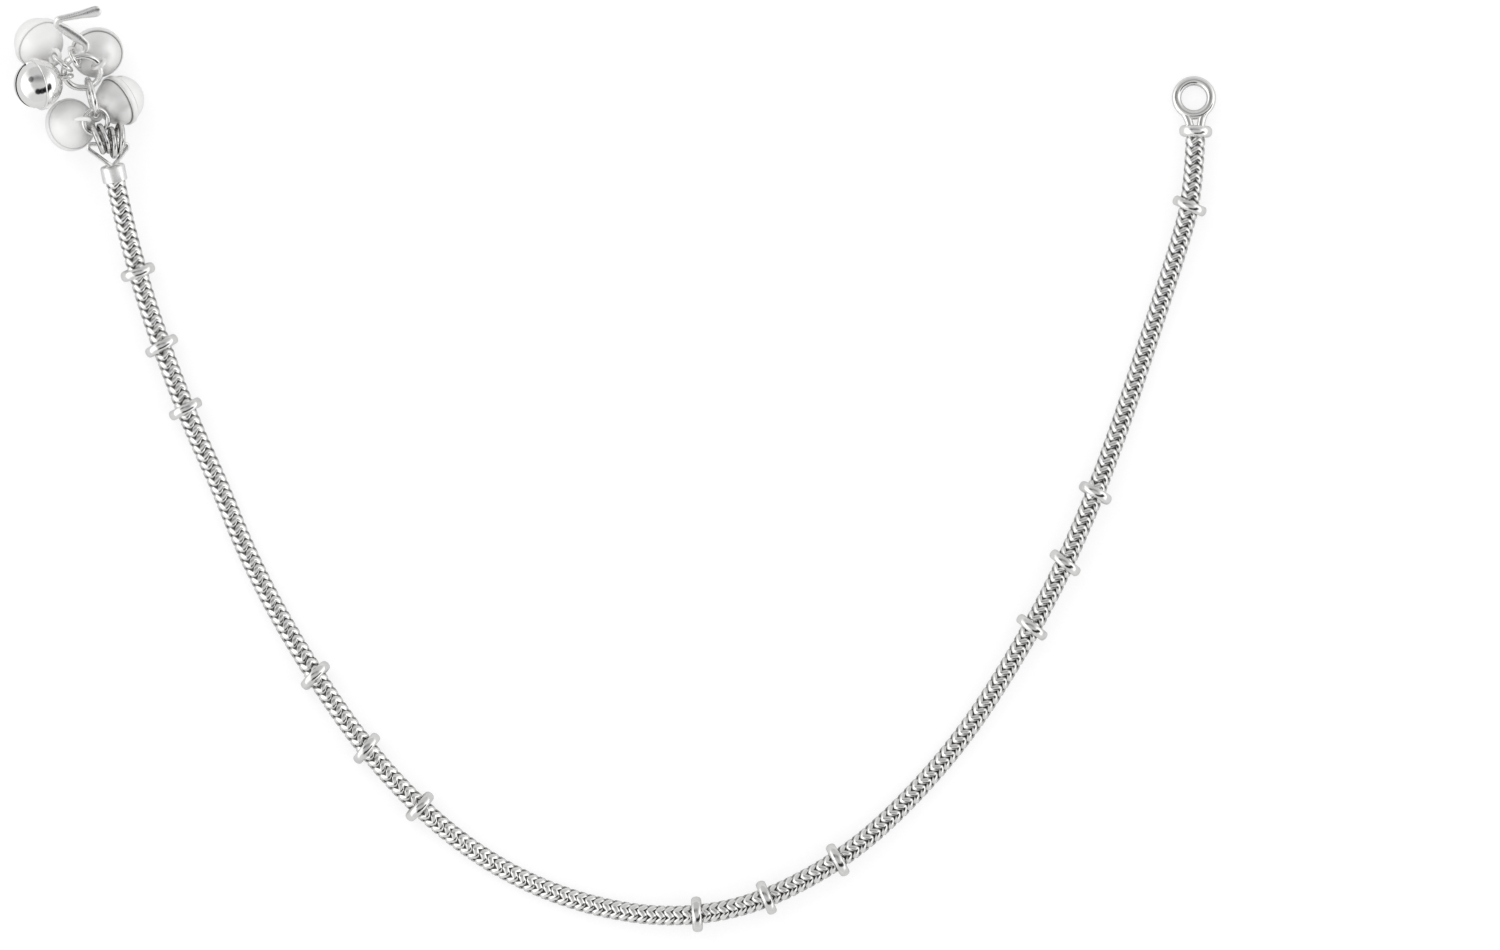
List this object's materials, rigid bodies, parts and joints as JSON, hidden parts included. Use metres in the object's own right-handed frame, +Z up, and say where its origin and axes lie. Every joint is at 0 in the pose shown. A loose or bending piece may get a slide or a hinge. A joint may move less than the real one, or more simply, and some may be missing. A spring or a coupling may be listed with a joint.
{
  "type": "payal anklet",
  "caption": "Silver snake-chain anklet with rondelle rings, an end eye, an S-hook on jump rings and a bunch of round bells, lying open in a U.",
  "frame": {"origin": "on the surface it lies on, below the middle of its box", "axes": "+X across the open U from the bell end to the eye end, +Y from the bottom of the U to its open ends, +Z up"},
  "size_m": [0.1442, 0.1111, 0.0103],
  "materials": {
    "chain_silver": "polished silver, woven links",
    "ring_silver": "high polish silver",
    "fitting_silver": "polished silver wire",
    "bell_silver": "bright silver, polished to satin"
  },
  "bodies": {
    "root": {"snake_chain": "chain_silver", "ring_01": "ring_silver", "ring_02": "ring_silver", "ring_03": "ring_silver", "ring_04": "ring_silver", "ring_05": "ring_silver", "ring_06": "ring_silver", "ring_07": "ring_silver", "ring_08": "ring_silver", "ring_09": "ring_silver", "ring_10": "ring_silver", "ring_11": "ring_silver", "ring_12": "ring_silver", "ring_13": "ring_silver", "end_eye": "fitting_silver", "hook_end_cap": "fitting_silver", "jump_ring_1": "fitting_silver", "jump_ring_2": "fitting_silver", "jump_ring_3": "fitting_silver", "jump_ring_4": "fitting_silver", "cross_ring": "fitting_silver", "link_ring": "fitting_silver", "carrier_ring": "fitting_silver", "hook_link": "fitting_silver", "bell_link": "fitting_silver", "s_hook": "fitting_silver", "bell_1": "bell_silver", "bell_2": "bell_silver", "bell_3": "bell_silver", "bell_4": "bell_silver", "bell_5": "bell_silver"}
  },
  "joints": []
}
